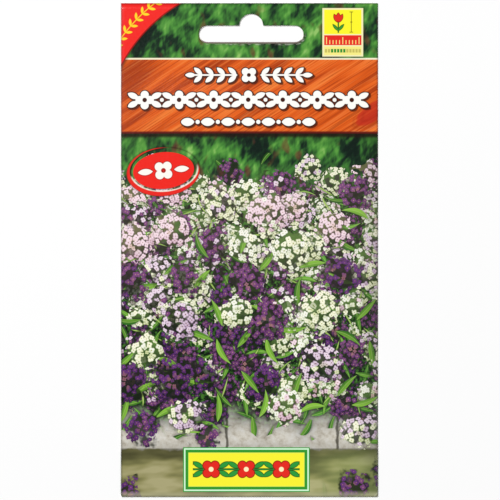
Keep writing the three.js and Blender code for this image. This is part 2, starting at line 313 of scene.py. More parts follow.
print_areas = ["front_picture", "front_plate", "front_board", "front_header", "back_print", "bare_paper"]
PICTURE, PLATE, BOARD, HEADER, BACK, BARE = range(len(print_areas))
s, t = blank[faces].mean(1).T
on_front = (np.abs(s) < panel_half + fold_length / 2) & (t > panel_low - 1.57 * bottom_radius)
on_plate = (s > plate_left) & (s < plate_right) & (t > plate_low) & (t < plate_high)
area = np.select([~on_front, t > board_high, t > board_low, on_plate], [BACK, HEADER, BOARD, PLATE], PICTURE)
area = np.append(area, np.full(len(faces) + len(rim_faces), BARE))
inks = [bpy.data.materials.new(name) for name in print_areas]

mesh = bpy.data.meshes.new("packet_wrap")
mesh.from_pydata((both_sides * MM).tolist(), [], all_faces.tolist())
for material in inks:
    mesh.materials.append(material)
mesh.polygons.foreach_set("material_index", area.astype(np.int32))
mesh.polygons.foreach_set("use_smooth", np.arange(len(all_faces)) < 2 * len(faces))
mesh.update()
wrap = bpy.data.objects.new("packet_wrap", mesh)
bpy.context.scene.collection.objects.link(wrap)

# The map that its finish can be stored on: the blank as it lies flat, its print in a square, its bare
# side squeezed into a strip above that, and each face of its cut edges in a small cell of its own.
share, strip_start, strip_share = 0.83, 0.84, 0.155
flat = (blank - blank.min(0)) / np.ptp(blank, axis=0)
print_map = flat[faces] * share
bare_map = flat[faces[:, ::-1]] * [share, strip_share] + [0, strip_start]
cells_across = math.ceil(math.sqrt(len(rim_faces)))
cell = np.arange(len(rim_faces))
cell_corner = np.stack([cell % cells_across, cell // cells_across], 1)[:, None]
square = np.array([(0, 0), (1, 0), (1, 1), (0, 1)]) * 0.8
rim_map = strip_start + (cell_corner + square) * (strip_share / cells_across)
bake_map = mesh.uv_layers.new(name="OFBake")
bake_map.data.foreach_set("uv", np.concatenate([print_map, bare_map, rim_map]).ravel())
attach(wrap, "root")
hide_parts("paper_wrap")


class Ink:
    """A number, colour or vector on its way through a material. Arithmetic on numbers adds Math
    nodes, and node() adds any other node."""

    def __init__(self, tree, socket):
        self.tree = tree
        self.socket = socket

    def node(self, kind, settings=None, inputs=None, output=0):
        """One output of a new node: its settings first, then the values or links of its sockets."""
        made = self.tree.nodes.new(kind)
        for key, value in (settings or {}).items():
            setattr(made, key, value)
        for key, value in (inputs or {}).items():
            if isinstance(value, Ink):
                self.tree.links.new(value.socket, made.inputs[key])
            else:
                made.inputs[key].default_value = value
        return Ink(self.tree, made.outputs[output])

    def math(self, operation, *others):
        return self.node("ShaderNodeMath", {"operation": operation}, dict(enumerate((self,) + others)))

    def __add__(self, other):
        return self.math("ADD", other)

    __radd__ = __add__

    def __sub__(self, other):
        return self.math("SUBTRACT", other)

    def __rsub__(self, other):
        return self.math("MULTIPLY_ADD", -1.0, other)

    def __mul__(self, other):
        return self.math("MULTIPLY", other)

    __rmul__ = __mul__

    def __truediv__(self, other):
        return self.math("DIVIDE", other)

    def __abs__(self):
        return self.math("ABSOLUTE")


def start(material):
    """Empties a material, gives it a Principled shader, and returns that and its coordinates."""
    material.use_nodes = True
    tree = material.node_tree
    tree.nodes.clear()
    output = tree.nodes.new("ShaderNodeOutputMaterial")
    shader = tree.nodes.new("ShaderNodeBsdfPrincipled")
    tree.links.new(shader.outputs[0], output.inputs["Surface"])
    return shader, Ink(tree, None).node("ShaderNodeTexCoord", output="Object")


def ink(code):
    """A printed colour, written as six hex digits, in linear light."""
    parts = [int(code[i:i + 2], 16) / 255 for i in (0, 2, 4)]
    return tuple(c / 12.92 if c <= 0.04045 else ((c + 0.055) / 1.055) ** 2.4 for c in parts) + (1.0,)


def paint(mask, under, over):
    """over laid on under where the mask is 1."""
    return mask.node("ShaderNodeMix", {"data_type": "RGBA"}, {0: mask, 6: under, 7: over}, output=2)


def inked(below, *layers):
    """Inks laid over one another. Each layer is its mask and its ink's six digits."""
    for mask, code in layers:
        below = paint(mask, below, ink(code))
    return below


def ramp(value, *stops, steps=False):
    """Colours along a value: stops are (position, hex), blended, or in steps."""
    made = value.node("ShaderNodeValToRGB", {}, {"Fac": value})
    colours = made.socket.node.color_ramp
    colours.interpolation = "CONSTANT" if steps else "LINEAR"
    while len(colours.elements) < len(stops):
        colours.elements.new(0.5)
    for element, (position, code) in zip(colours.elements, stops):
        element.position = position
        element.color = ink(code)
    return made


def fade(value, start, end):
    """Smoothstep of a value: 0 at start, 1 at end."""
    inputs = {0: value, 1: start, 2: end}
    return value.node("ShaderNodeMapRange", {"interpolation_type": "SMOOTHSTEP"}, inputs)


def vector(operation, a, b=None, output=0):
    """Vector maths on one vector or two."""
    inputs = {0: a} if b is None else {0: a, 1: b}
    return a.node("ShaderNodeVectorMath", {"operation": operation}, inputs, output)


def scaled(a, factor):
    """A vector times a number."""
    return a.node("ShaderNodeVectorMath", {"operation": "SCALE"}, {0: a, 3: factor})


def split(a):
    """The three numbers of a vector."""
    first = a.node("ShaderNodeSeparateXYZ", {}, {0: a})
    return [Ink(a.tree, socket) for socket in first.socket.node.outputs]


def three(colour):
    """The three numbers of a random colour."""
    first = colour.node("ShaderNodeSeparateColor", {}, {0: colour})
    return [Ink(colour.tree, socket) for socket in first.socket.node.outputs]


def joined_up(x, y, z=0.0):
    """The vector of three numbers."""
    return x.node("ShaderNodeCombineXYZ", {}, {0: x, 1: y, 2: z})


def chosen(mask, under, over):
    """The vector over where the mask is 1, and under elsewhere."""
    return mask.node("ShaderNodeMix", {"data_type": "VECTOR"}, {0: mask, 4: under, 5: over}, output=1)


def span(x, y):
    """Length of the vector (x, y)."""
    return vector("LENGTH", joined_up(x, y), output=1)


def placed(place, middle, angle=0.0, stretch=(1, 1)):
    """The sheet seen from a middle: moved there, then turned, then divided by the stretch."""
    inputs = {"Vector": place, "Location": (*middle, 0), "Rotation": (0, 0, angle), "Scale": (*stretch, 1)}
    return place.node("ShaderNodeMapping", {"vector_type": "TEXTURE"}, inputs)


def spun(a, angle):
    """A vector turned in the sheet's plane by an angle that varies."""
    return a.node("ShaderNodeVectorRotate", {"rotation_type": "Z_AXIS"}, {"Vector": a, "Angle": angle})


def cells(place, randomness):
    """The nearest point of a scattered lattice: its random colour and its place."""
    settings = {"voronoi_dimensions": "2D", "feature": "F1"}
    inputs = {"Vector": place, "Scale": 1.0, "Randomness": randomness}
    colour = place.node("ShaderNodeTexVoronoi", settings, inputs, output=1)
    return colour, Ink(place.tree, colour.socket.node.outputs["Position"])


def noise(place, scale, detail=2.0, roughness=0.5, output=0):
    """Soft noise over the sheet: a number, or with output 1 a random colour."""
    inputs = {"Vector": place, "Scale": scale, "Detail": detail, "Roughness": roughness}
    return place.node("ShaderNodeTexNoise", {"noise_dimensions": "2D"}, inputs, output)


def streaks(place, angle, length, width, seed, detail=1.0):
    """Soft noise drawn out along an angle."""
    return noise(placed(place, (seed, seed * 1.7), angle, (length, width)), 1.0, detail)


def foliage(place):
    """Undergrowth far out of focus: soft blades of light at several slants over dark shade."""
    shade = noise(placed(place, (13.0, 22.0), 1.1, (1.25, 1.0)), 0.11, 2.0, 0.6)
    left = streaks(place, 1.8, 6.5, 2.1, 31.0, 0.5)
    right = streaks(place, 1.15, 8.0, 2.0, 29.0, 0.5)
    low = streaks(place, 0.6, 6.0, 1.8, 47.0, 0.5)
    bright = fade(left, 0.46, 0.8) * 0.5 + fade(right, 0.46, 0.8) * 0.6 + fade(low, 0.48, 0.82) * 0.4
    fine = streaks(place, 1.5, 3.0, 0.95, 59.0, 1.0) + streaks(place, 0.85, 3.2, 1.0, 83.0, 1.0)
    light = (shade - 0.3) * 1.4 + bright * 0.42 + (fine - 1.0) * 0.32
    leaves = ramp(light, (0.0, "0e1f17"), (0.18, "17321f"), (0.34, "30602b"), (0.55, "478837"),
                  (0.76, "61a345"), (1.0, "92c268"))
    rust = fade(noise(placed(place, (71.0, 40.0), 0.0, (1.0, 1.5)), 0.24, 1.0), 0.62, 0.8) * 0.6
    return paint(rust, leaves, ink("6e352c"))


def stirred(place, scale, amount):
    """The sheet with its points shifted by soft noise, so that what is drawn on it is uneven."""
    shift_x, shift_y, _ = three(noise(place, scale, 1.5, output=1))
    x, y, _ = split(place)
    x = x + shift_x.math("MULTIPLY_ADD", amount, -amount / 2)
    return joined_up(x, y + shift_y.math("MULTIPLY_ADD", amount, -amount / 2))


def blades(below, size, length, width, seed, turn, where, dark, light):
    """Pointed leaves at all angles, one to a cell of a scattered lattice, each bent along a
    parabola and tapered along another, with a paler rib and a soft shadow."""
    moved = placed(sheet_mm, (seed, seed * 1.3), turn, (size, size))
    colour, spot = cells(moved, 0.45)
    pick, tint, keep = three(colour)
    along, across, _ = split(spun(vector("SUBTRACT", moved, spot), pick * 6.28))
    slope = along * (size / length)
    bent = across * size + slope * slope * (tint - 0.5) * (0.55 * length)
    taper = (1 - slope * slope) * (1.15 + slope * 0.35)
    off = abs(bent) - taper * width
    on = fade(keep - where, 0.01, -0.01)
    mask = fade(off, 0.09, -0.05) * on
    green = ramp(bent * (0.25 / width) + tint * 0.6 + 0.2, (0.0, dark), (0.9, light))
    rib = fade(abs(bent), 0.13, 0.03) * 0.45
    cast = fade(off, 0.9, 0.0) * on * 0.45
    return paint(mask, paint(cast, below, ink("0a1a0c")), paint(rib, green, ink("b9d67a")))


def heads(size, radius, seed, turn, top, foot, chance, apart=None):
    """One depth of round flower heads: each cell of a scattered lattice may hold one. Gives where
    a head covers the sheet, the place within it, and its own numbers."""
    moved, edged = (placed(place, (seed, seed * 1.3), turn, (size, size)) for place in (sheet_mm, uneven))
    colour, spot = cells(edged, 0.5)
    pick, tint, keep = three(colour)
    local = scaled(spun(vector("SUBTRACT", moved, spot), turn), size)
    local_x, local_y, _ = split(local)
    spot_y = print_y - local_y
    stands = fade(spot_y, top + 3.0, top - 7.0) * fade(spot_y, foot - 5.0, foot + 9.0)
    if apart:
        stands = stands * fade(abs(print_x - local_x), apart, apart + 4.0)
    girth = tint * (radius * 0.4) + radius * 0.8
    away = vector("LENGTH", vector("SUBTRACT", edged, spot), output=1) * size / girth
    cover = (away + ragged).math("LESS_THAN", 1.12) * keep.math("LESS_THAN", stands * chance)
    kind = pick * 0.76 + fade(spot_y, -26.0, 16.0) * 0.24
    return cover, joined_up(local_x, local_y, kind), joined_up(girth, away, pick)


def in_front(*depths):
    """The heads of several depths in one: the last depth that covers a point wins it."""
    cover, local, facts = depths[0]
    for next_cover, next_local, next_facts in depths[1:]:
        local = chosen(next_cover, local, next_local)
        facts = chosen(next_cover, facts, next_facts)
        cover = cover.math("MAXIMUM", next_cover)
    return cover, local, facts


def umbels(below, depths, floret, light):
    """Flower heads over what lies below. Each is a dome of four-petalled florets on a scattered
    lattice of its own, with buds at its crown, in one of six colourings from dark violet to pink.
    A few florets take the next colouring, and violet heads have more gaps."""
    cover, local, facts = in_front(*depths)
    local_x, local_y, kind = split(local)
    girth, away, pick = split(facts)
    crown = fade(away, 0.42, 0.12)
    bulge = away * away * 0.28 + crown * 0.45 + 1.0
    drift = joined_up(pick * 731.0, pick * 377.0)
    dome = vector("ADD", scaled(spun(joined_up(local_x, local_y), pick * 9.0), bulge * (1 / floret)), drift)
    petal_colour, petal_spot = cells(dome, 0.78)
    shine, petal_turn, petal_keep = three(petal_colour)
    kind = kind + (petal_keep - 0.56) * 0.16
    centre = vector("LENGTH", vector("SUBTRACT", petal_spot, drift), output=1) * (floret / 1.28) / girth
    petal_x, petal_y, _ = split(spun(vector("SUBTRACT", dome, petal_spot), petal_turn * 6.28))
    side, end = abs(petal_x), abs(petal_y)
    petal_off = span(side.math("MAXIMUM", end) - 0.28, side.math("MINIMUM", end))
    from_eye = span(petal_x, petal_y)
    starts = (0.0, 0.2, 0.43, 0.53, 0.67, 0.77)
    violet = kind.math("LESS_THAN", starts[2])
    whole = fade(centre + ragged, 1.0, 0.93) * fade(petal_keep - violet * 0.12, 0.12, 0.14) * cover
    shape = fade(petal_off + crown * 0.08, 0.33, 0.25) * whole
    lit = (local_y - local_x * 0.5) / girth
    body = fade(away + ragged * 1.3, 1.12, 0.62) * cover * 0.93

    def coloured(*codes):
        """The ink of each colouring."""
        return ramp(kind, *zip(starts, codes), steps=True)

    deep = coloured("220c30", "34123c", "865f89", "a0ae6a", "b4c189", "ac8096")
    pale = coloured("653678", "7c487e", "eedcea", "fcfbe2", "fbfbf0", "f9e2ea")
    gap = coloured("1e2318", "252a1d", "464a3a", "587a39", "5a7c3b", "70704a")
    gap = paint(fade(lit + ragged - shine * 0.5, 0.5, -1.1) * 0.78, gap, ink("0f1c0c"))
    eye = coloured("a8746c", "c89a84", "8b5a58", "a5aa42", "b0ae50", "a8806a")
    bud = coloured("a27058", "bb8a6e", "a7a86a", "b4c65c", "a9c060", "c9a77c")
    tone = shine * 0.55 + lit * 0.3 - fade(petal_off, 0.08, 0.36) * 0.85
    tone = tone + fade(print_y, -35.0, 15.0) * 0.18 + (light + 0.62)
    petals = paint(tone, deep, pale)
    petals = paint(crown * fade(shine, 0.25, 0.6) * 0.55, petals, bud)
    petals = paint(fade(from_eye, 0.12, 0.05), petals, eye)
    if light < 0:
        petals = paint(shape * -light, petals, gap)
    return paint(shape, paint(body, below, gap), petals)


def printed(area, side=1):
    """Starts the material of a print area. Gives its shader and the sheet's place in millimetres,
    with x to the right as seen from the front, side 1, or from behind, side -1."""
    shader, place = start(inks[area])
    sheet = vector("MULTIPLY", place, (side / MM, 1 / MM, 0))
    return shader, sheet, *split(sheet)[:2]


def finished(shader, colour, height, depth, roughness, shine):
    """Gives a surface its colour, and its relief, depth in metres, and gloss from one height.
    The roughness is given at height 0 and at height 1."""
    links = colour.tree.links
    links.new(colour.socket, shader.inputs["Base Color"])
    bump = height.node("ShaderNodeBump", {}, {"Strength": 1.0, "Distance": depth, "Height": height})
    links.new(bump.socket, shader.inputs["Normal"])
    matt = height * (roughness[1] - roughness[0]) + roughness[0]
    links.new(matt.socket, shader.inputs["Roughness"])
    shader.inputs["Specular IOR Level"].default_value = shine


def varnished(shader, colour):
    """Printed paper under a thin even varnish, which follows the paper's fine unevenness. Shade is
    painted over the print along the folded and cut edges, where the paper turns away from the light."""
    to_edge = (abs(print_x) - half_width).math("MAXIMUM", abs(print_y) - half_height)
    # painted shade: the print darkens towards the folded and cut edges
    colour = paint(fade(to_edge, -0.8, 0.0) * 0.42, colour, ink("1a130f"))
    finished(shader, colour, noise(sheet_mm, 1.3, 2.0), 0.00002, (0.16, 0.3), 0.3)


# The picture on the front, printed from edge to edge: a border of alyssum in flower that spills
# over a low stone edging, with hedges out of focus behind it and a path in front.
shader, sheet_mm, print_x, print_y = printed(PICTURE)
backdrop = foliage(sheet_mm)

wall_top, wall_arris, wall_foot, block_length = -40.0, -52.5, -61.2, 34.0
path = ramp(streaks(sheet_mm, 0.06, 15.0, 4.5, 5.0, 2.0), (0.3, "605f3a"), (0.44, "7d7b4d"),
            (0.54, "96925f"), (0.7, "b4ae80"))
path = inked(path, (fade(print_x, 5.0, -32.0) * 0.14, "332f1a"), (fade(print_x, 8.0, 34.0) * 0.4, "8aa05c"))
grit = noise(placed(sheet_mm, (4.0, 1.0)), 0.42, 5.0, 0.68)
broad = noise(placed(sheet_mm, (9.0, 31.0)), 0.09, 1.0)
wobble = noise(placed(sheet_mm, (2.0, 5.0)), 0.35, 2.0) - 0.5
joint = abs((print_x + wobble * 1.2 + 7.0).math("WRAP", block_length / 2, -block_length / 2))
stone = ramp(grit * 0.7 + broad * 0.3, (0.3, "b5ad9c"), (0.41, "d8d1c2"), (0.5, "ece7da"), (0.66, "fbf9f2"))
stone = inked(
    stone,
    (fade(print_y + wobble, wall_arris + 0.6, wall_arris - 1.6) * 0.24, "5f5a50"),
    (fade(abs(print_y + wobble - wall_arris), 0.9, 0.0) * 0.5, "f6f3ec"),
    (fade(joint, 0.62, 0.2) * 0.85, "3b372c"),
    (fade(print_y, wall_foot + 4.5, wall_foot) * 0.32, "4b4637"),
)
picture = paint(fade(print_y + wobble * 1.6, wall_foot - 0.35, wall_foot + 0.35), path, stone)
foot_shade = fade(print_y, wall_foot - 5.0, wall_foot) * fade(print_y, wall_foot + 0.5, wall_foot)
picture = paint(foot_shade * 0.6, picture, ink("2e2c1a"))
picture = paint(fade(print_y + wobble * 3.0, wall_top - 3.0, wall_top + 3.0), picture, backdrop)

# The bed, from back to front: its deep shade, then leaves and flower heads by turns, each depth
# nearer and larger than the one behind it, and two clumps of heads on the path at both sides.
bed_top, bed_foot = 22.0, -51.0
ragged = (noise(placed(sheet_mm, (6.0, 2.0)), 0.33, 2.0, 0.6) - 0.5) * 1.2
clump = (noise(placed(sheet_mm, (1.0, 12.0)), 0.085, 1.0) - 0.5) * 17.0
top_line, foot_line = print_y + clump, print_y + clump * 0.6
bed = fade(top_line, bed_top + 2.0, bed_top - 5.0) * fade(foot_line, bed_foot - 4.0, bed_foot + 4.0)
in_bed = fade(top_line, bed_top + 4.0, bed_top - 4.0) * fade(foot_line, bed_foot - 8.0, bed_foot)
leafy = in_bed * (fade(print_y, 18.0, -20.0) * 0.7 + 0.3)
cast_on_stone = fade(foot_line, bed_foot - 9.0, bed_foot + 1.0) * fade(print_y, -30.0, -40.0)
picture = paint(cast_on_stone * 0.42, picture, ink("2b2a20"))
deep_noise = noise(placed(sheet_mm, (5.0, 5.0)), 0.8, 3.0, 0.7)
picture = paint(bed, picture, ramp(deep_noise, (0.4, "08100a"), (0.51, "1b3a16"), (0.62, "437a2a")))

uneven = stirred(sheet_mm, 0.2, 4.5)
picture = blades(picture, 7.5, 3.4, 0.55, 3.7, 0.3, in_bed * 0.85, "143d11", "5aa336")
rear = (heads(8.2, 3.7, 37.7, 2.4, 22.0, -30.0, 0.95), heads(9.0, 3.9, 11.3, 0.2, 27.0, -52.0, 0.95),
        heads(10.2, 4.3, 23.9, 1.1, 30.0, -52.0, 0.95))
picture = umbels(picture, rear, 1.5, -0.06)
picture = blades(picture, 8.5, 3.9, 0.55, 8.1, 1.3, leafy * 0.93, "1a5215", "72b23b")
picture = blades(picture, 6.0, 3.2, 0.2, 43.0, 1.9, bed * 0.45, "4f8a2a", "b4d26a")
middle = heads(11.6, 4.6, 47.1, 2.0, 26.0, -53.0, 0.9), heads(12.6, 5.0, 61.7, 2.9, 22.0, -55.0, 0.8)
picture = umbels(picture, middle, 1.75, 0.0)
picture = blades(picture, 10.5, 4.4, 0.75, 5.9, 0.8, leafy * 0.88, "24651a", "8bc243")
fore = (heads(13.8, 5.5, 83.3, 0.6, 14.0, -57.0, 0.7), heads(15.0, 6.0, 97.9, 1.6, 2.0, -54.0, 0.6),
        heads(11.0, 5.0, 131.0, 0.4, -68.0, -99.0, 0.95, 27.0))
picture = umbels(picture, fore, 1.95, 0.05)
haze = fade(print_y, -25.0, 5.0) * fade(print_y, 28.0, 18.0)
picture = paint(haze * 0.04, picture, ink("c8a0a4"))


def leaf(place, middle, angle, length, width):
    """Distance outside a pointed leaf, negative inside it: two arcs that meet at its tips."""
    along, across, _ = split(placed(place, middle, angle))
    shift = (length ** 2 - width ** 2) / (2 * width)
    return span(along, abs(across) + shift) - (shift + width)


def blossom(place, middle, angle, size):
    """Distance outside four round petals round a middle."""
    along, across, _ = split(placed(place, middle, angle))
    side, end = abs(along), abs(across)
    return span(side.math("MAXIMUM", end) - size * 0.56, side.math("MINIMUM", end)) - size * 0.44


def dot(place, middle, radius):
    """Distance outside a circle."""
    return vector("LENGTH", placed(place, middle), output=1) - radius


def frame_off(place, left, right, low, high):
    """Distance outside a rectangle, measured square to its sides."""
    x, y, _ = split(placed(place, ((left + right) / 2, (low + high) / 2)))
    return (abs(x) - (right - left) / 2).math("MAXIMUM", abs(y) - (high - low) / 2)


def nearest(*distances):
    """Distance outside several shapes together."""
    first = distances[0]
    for other in distances[1:]:
        first = first.math("MINIMUM", other)
    return first


def inside(distance, soft=0.07):
    """1 inside a shape and 0 outside it, with an edge that is soft for this far either way."""
    return fade(distance, soft, -soft)


def stamped(below, *marks):
    """Shapes printed over one another in flat inks. Each mark is a distance and its ink."""
    for distance, code in marks:
        below = paint(inside(distance), below, ink(code))
    return below


def repeated(place, middle, pitch):
    """One motif's own frame along a row: x within its pitch, y, and x along the whole row."""
    x, y, _ = split(placed(place, middle))
    return x.math("WRAP", pitch / 2, -pitch / 2), y, x


diagonal = 0.785  # a blossom at this angle has its petals between the axes

# The seal at the left: a tilted red oval that bears a blossom between two leaves. Round it runs a
# ring that is widest at its lower left, and the picture shows between the two.
seal_tilt, seal_middle = 0.087, (-26.4, 24.43)


def oval(middle, radii):
    """1 on the edge of a tilted oval, less inside it and more outside."""
    return vector("LENGTH", placed(sheet_mm, middle, seal_tilt, radii), output=1)


seal_place = placed(sheet_mm, seal_middle, seal_tilt)
seal_x, seal_y, _ = split(seal_place)
ring_edge, ring_hole = oval((-26.5, 24.07), (11.3, 7.5)), oval((-26.22, 24.62), (10.62, 6.72))
seal_field = oval(seal_middle, (9.4, 5.63))
ring_shown = 1 - fade(seal_x + seal_y * 1.6, 8.5, 14.0)
in_ring = fade(ring_edge, 1.006, 0.99) * fade(ring_hole, 0.99, 1.006) * ring_shown
picture = paint(fade(ring_edge, 1.07, 0.99) * fade(ring_hole, 0.97, 1.02) * 0.5, picture, ink("170706"))
picture = paint(in_ring, picture, paint(fade(ring_edge, 0.965, 0.995), ink("e92920"), ink("b81a14")))
lip = fade(abs(ring_hole - 0.975), 0.035, 0.012) * ring_shown
lip_height = seal_y - seal_x * 0.1
field_shade = fade(seal_field, 1.09, 1.0) * fade(seal_y - seal_x * 0.5, 5.0, -3.0)
emblem = nearest(blossom(seal_place, (0, 0), diagonal, 3.1), leaf(seal_place, (-5.6, 0), 0.0, 2.3, 0.95),
                 leaf(seal_place, (5.6, 0), 0.0, 2.3, 0.95))
picture = inked(
    picture,
    (lip * fade(lip_height, -0.6, 0.8) * 0.85, "1d0a06"),
    (lip * fade(lip_height, 0.4, -0.8) * 0.8, "f9ead8"),
    (field_shade * 0.8, "2a0807"),
    (fade(seal_field, 1.008, 0.992), "ef271e"),
)
picture = stamped(picture, (emblem - 0.22, "a8140f"))
heart = inside(dot(seal_place, (0, 0), 0.75))
picture = paint(inside(emblem) * (1 - heart), picture, ink("fff8f0"))

# The picture's ends: a shade at the right, a paler strip at the foot, and the board's shadow.
picture = inked(
    picture,
    (fade(print_x, 31.5, half_width) * 0.34, "152311"),
    (fade(print_y, -73.6, -75.3) * 0.4, "c6c3a2"),
    (fade(print_y, board_low - 5.0, board_low) * 0.28, "0c160c"),
    (fade(print_y, board_low - 1.6, board_low - 0.55) * 0.92, "1e120d"),
)
varnished(shader, picture)

# The wooden board across the top, which bears a laurel spray, a garland and a chain in white. It
# lies over the picture, with a knot in its slanted grain, a dark lower edge and a shadow under it.
shader, sheet_mm, print_x, print_y = printed(BOARD)
board_slant = 0.57
grain = streaks(sheet_mm, board_slant, 30.0, 2.2, 7.0, 2.0)
broad_grain = streaks(sheet_mm, board_slant, 40.0, 8.0, 37.0, 1.0)
pores = streaks(sheet_mm, board_slant, 22.0, 0.42, 19.0, 1.0)
knot_x, knot_y, _ = split(placed(sheet_mm, (37.6, 42.3), 0.66, (6.2, 2.9)))
knot = span(knot_x, knot_y) + (grain - 0.5) * 0.5
wood = ramp(grain * 0.6 + broad_grain * 0.4, (0.36, "b4420f"), (0.43, "d15414"), (0.49, "e05e1a"),
            (0.56, "e96922"), (0.66, "ef7c32"))
wood = inked(
    wood,
    (fade(pores, 0.46, 0.32) * 0.5, "8a2c0a"),
    (fade(pores, 0.56, 0.68) * 0.22, "f8a05a"),
    (fade(print_x, -26.0, -40.0) * 0.18, "8a2a10"),
    (fade(knot, 1.04, 0.8) * 0.8, "c32c1c"),
    (fade(abs(knot - 0.55), 0.2, 0.0) * 0.25, "96200f"),
    (fade(abs(knot - 1.1), 0.14, 0.0) * 0.25, "9c3412"),
    (fade(abs(knot - 1.38), 0.12, 0.0) * fade(knot_y, 0.0, -0.8) * 0.45, "fba468"),
)
spray_middle, garland_middle, chain_middle = (-0.2, 53.8), (-0.4, 46.1), (-0.4, 39.3)
garland_pitch, chain_pitch = 10.6, 6.2


def ornament(place):
    """Distance outside the white ornament: a laurel spray, a garland with blossoms, and a chain
    of leaves and berries, each symmetrical about its middle."""
    x, y, _ = split(placed(place, spray_middle))
    run, rise = abs(x), abs(y)
    sprig = joined_up((run - 5.0).math("WRAP", 1.75, -1.75), rise)
    laurel = nearest(leaf(sprig, (0.1, 1.2), 0.72, 1.65, 0.72), rise - 0.25)
    laurel = laurel.math("MAXIMUM", 3.6 - run).math("MAXIMUM", run - 17.25)
    tip = leaf(joined_up(run, rise), (18.0, 0), 0.0, 1.6, 0.75)
    spray = nearest(blossom(place, spray_middle, diagonal, 2.6), laurel, tip)
    wrapped, y, x = repeated(place, garland_middle, garland_pitch)
    cell = joined_up(abs(wrapped), abs(y))
    bead = dot(cell, (garland_pitch / 2, 0), 0.6).math("MAXIMUM", abs(x) - 35.5)
    garland = nearest(blossom(cell, (0, 0), 0.0, 2.85), leaf(cell, (3.55, 1.3), 0.42, 1.85, 0.9), bead)
    garland = garland.math("MAXIMUM", abs(x) - 36.95)
    wrapped, y, x = repeated(place, chain_middle, chain_pitch)
    cell = joined_up(abs(wrapped), y)
    chain = nearest(leaf(cell, (0, 0), 0.0, 2.1, 1.25), dot(cell, (chain_pitch / 2, 0), 0.65))
    return nearest(spray, garland, chain.math("MAXIMUM", abs(x) - 20.55))


white = ornament(sheet_mm)
white_cast = ornament(placed(sheet_mm, (0.42, -0.42)))
wood = paint(inside(white_cast - 0.35, 0.2) * 0.85, wood, ink("31110a"))
wood = paint(inside(white - 0.3), wood, ink("3d150c"))
heart_x, heart_y, _ = repeated(sheet_mm, garland_middle, garland_pitch)
hearts = nearest(span(heart_x, heart_y) - 0.7, dot(sheet_mm, spray_middle, 0.6))
wood = paint(inside(white) * (1 - inside(hearts)), wood, ink("fdfcf6"))
board_edge = paint(fade(print_y, board_low + 0.5, board_low), ink("6a1b11"), ink("44140f"))
wood = paint(fade(print_y, board_low + 1.05, board_low + 0.45), wood, board_edge)

# The printed corner, over the board's end and the header: a plain red field that ends on a wide
# arc with a thin dark edge, and a yellow sprig that follows the arc.
arc_middle, arc_radius, sprig_radius = (2.34, 35.2), 46.84, 51.44


def with_corner(below):
    """The red corner over a print area, with the thin dark shadow of its edge."""
    from_x, from_y, _ = split(placed(sheet_mm, arc_middle))
    reach = span(from_x, from_y)
    corner = (reach - arc_radius).math("MINIMUM", 0.0 - from_x).math("MINIMUM", from_y - 15.0)
    along = (from_y.math("ARCTAN2", from_x) - 2.36) * (arc_radius + 5.0)
    beside = abs(reach - sprig_radius)
    leaves = leaf(joined_up(along.math("WRAP", 1.3, -1.3), beside), (0.15, 0.85), -0.8, 1.15, 0.42)
    sprig = nearest(leaves, beside - 0.14).math("MAXIMUM", abs(along) - 11.7)
    colour = inked(
        below,
        (fade(corner, -1.1, 0.0) * 0.6, "170c06"),
        (fade(corner, -0.12, 0.0), "8f1410"),
        (fade(corner, 0.2, 0.45), "f32a25"),
    )
    return stamped(colour, (sprig, "fbd92a"))


varnished(shader, with_corner(wood))

# The header over the board: more of the hedge, a cream line along the board, the chipped edge of
# the back layer, which shows under the slot's lower edge, and a painted shadow along that edge.
shader, sheet_mm, print_x, print_y = printed(HEADER)
cream_line = 59.08


def past_slot():
    """Distance outside the slot without its hump, and where a point lies from its middle."""
    x, y, _ = split(placed(sheet_mm, (slot_x, slot_y)))
    return span((abs(x) - slot_reach).math("MAXIMUM", 0.0), y) - slot_radius, x, y


header = paint(fade(print_y, cream_line - 0.05, cream_line + 0.05), ink("f6efcf"), foliage(sheet_mm))
from_slot, from_slot_x, from_slot_y = past_slot()
under_slot = fade(from_slot_y - from_slot_x * 0.1, -1.2, -2.2)
chips = noise(placed(sheet_mm, (3.0, 8.0), 0.0, (2.6, 0.7)), 1.0, 3.0, 0.6)
chipped = fade(chips, 0.44, 0.62) * fade(abs(from_slot - 0.6), 0.34, 0.0) * under_slot
# painted shadow: the print darkens just under the slot's lower edge
header = paint(fade(from_slot, 1.3, 0.1) * under_slot * 0.5, header, ink("2c201a"))
header = paint(chipped * 0.55, header, ink("c9cbbf"))
header = with_corner(header)

# The growing panel: a plain picture of a plant with its height bar, a ruled strip, and a strip of
# twelve month squares with the sowing months filled in.
panel_left, panel_right, panel_border = 22.4, 34.95, 0.55
panel_middle = (panel_left + panel_right) / 2
tick_pitch, month_pitch = 1.0, 0.94


def panel_band(low, high):
    """Distance outside a band across the panel, inside its border."""
    return frame_off(sheet_mm, panel_left + panel_border, panel_right - panel_border, low, high)


panel = frame_off(sheet_mm, panel_left, panel_right, 59.5, 74.4)
header = paint(fade(panel, 0.9, 0.0) * 0.35, header, ink("0a0d06"))
header = stamped(header, (panel, "f4eebb"), (panel_band(66.4, 73.9), "fcf62e"),
                 (panel_band(63.0, 66.05), "e62a22"), (panel_band(59.95, 62.6), "f7ec86"))
bloom = nearest(leaf(sheet_mm, (27.3, 71.5), 1.5708, 1.45, 0.7),
                leaf(sheet_mm, (26.5, 71.3), 1.95, 1.35, 0.55),
                leaf(sheet_mm, (28.1, 71.3), 1.19, 1.35, 0.55))
stalk = frame_off(sheet_mm, 27.18, 27.42, 66.9, 70.6)
greens = nearest(stalk, leaf(sheet_mm, (26.5, 68.4), 2.3, 1.35, 0.4),
                 leaf(sheet_mm, (28.1, 68.4), 0.84, 1.35, 0.4))
bar = nearest(frame_off(sheet_mm, 31.2, 31.38, 67.0, 73.2), frame_off(sheet_mm, 30.75, 31.83, 73.1, 73.3),
              frame_off(sheet_mm, 30.75, 31.83, 66.9, 67.1), frame_off(sheet_mm, 30.95, 31.63, 70.0, 70.2))
